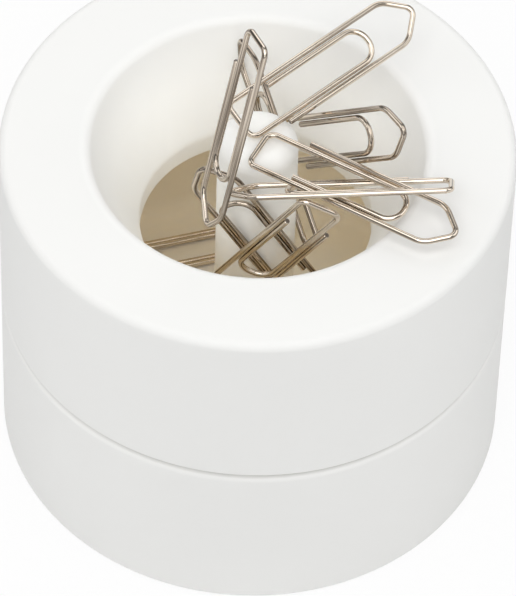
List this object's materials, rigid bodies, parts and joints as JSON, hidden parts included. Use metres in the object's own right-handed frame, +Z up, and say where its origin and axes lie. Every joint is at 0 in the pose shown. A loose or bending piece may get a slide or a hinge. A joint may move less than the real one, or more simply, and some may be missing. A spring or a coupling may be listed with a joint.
{
  "type": "magnetic paper clip holder",
  "caption": "Round desk holder for paper clips: a two-shell tub with a funnel mouth round a central magnetic post that lifts loose wire clips up through the throat.",
  "frame": {"origin": "on the table, at the centre of the round footprint", "axes": "+Z up along the post; -Y towards the viewer of the picture; +X to the viewer's right"},
  "size_m": [0.073, 0.073, 0.0847],
  "materials": {
    "white_plastic": "satin moulded, white",
    "post_plastic": "satin moulded, white",
    "inner_plastic": "moulded, natural grey",
    "magnet": "sintered ferrite, dark grey",
    "steel_plate": "zinc plated sheet",
    "foot_rubber": "matt",
    "nickel_wire": "bright nickel plated steel wire"
  },
  "bodies": {
    "holder": {"lower_shell": "white_plastic", "upper_shell": "white_plastic", "post_sleeve": "post_plastic", "magnet": "magnet", "magnet_spacer": "inner_plastic", "ballast_plate": "steel_plate", "base_cover": "white_plastic", "foot_pad_1": "foot_rubber", "foot_pad_2": "foot_rubber", "foot_pad_3": "foot_rubber", "foot_pad_4": "foot_rubber"},
    "clip_rear_right": {"clip_rear_right": "nickel_wire"},
    "clip_front_right": {"clip_front_right": "nickel_wire"},
    "clip_linked": {"clip_linked": "nickel_wire"},
    "clip_leaning": {"clip_leaning": "nickel_wire"},
    "clip_upright": {"clip_upright": "nickel_wire"},
    "clip_rear": {"clip_rear": "nickel_wire"},
    "clip_front_left": {"clip_front_left": "nickel_wire"},
    "clip_front": {"clip_front": "nickel_wire"},
    "clip_in_cup": {"clip_in_cup": "nickel_wire"}
  },
  "joints": [
    {"name": "rear_clip_pull", "type": "slide", "parent": "holder", "child": "clip_rear", "axis": [0.3505, 0.1001, 0.9312], "range_m": [0, 0.04]},
    {"name": "rear_right_clip_pull", "type": "slide", "parent": "clip_rear", "child": "clip_rear_right", "axis": [-0.06, 0.6594, 0.7494], "range_m": [0, 0.04]},
    {"name": "leaning_clip_pull", "type": "slide", "parent": "clip_rear", "child": "clip_leaning", "axis": [0.7724, -0.1705, 0.6119], "range_m": [0, 0.04]},
    {"name": "front_clip_pull", "type": "slide", "parent": "holder", "child": "clip_front", "axis": [0.3017, -0.4223, 0.8548], "range_m": [0, 0.04]},
    {"name": "linked_clip_pull", "type": "slide", "parent": "clip_front", "child": "clip_linked", "axis": [0.3017, -0.4223, 0.8548], "range_m": [0, 0.04]},
    {"name": "front_right_clip_pull", "type": "slide", "parent": "clip_linked", "child": "clip_front_right", "axis": [0.8922, -0.4511, 0.0201], "range_m": [0, 0.04]},
    {"name": "front_left_clip_pull", "type": "slide", "parent": "holder", "child": "clip_front_left", "axis": [-0.5524, 0, 0.8336], "range_m": [0, 0.04]},
    {"name": "upright_clip_pull", "type": "slide", "parent": "clip_front_left", "child": "clip_upright", "axis": [-0.2805, -0.3005, 0.9116], "range_m": [0, 0.04]},
    {"name": "cup_clip_lift", "type": "slide", "parent": "holder", "child": "clip_in_cup", "axis": [0, 0, 1], "range_m": [0, 0.02]}
  ]
}
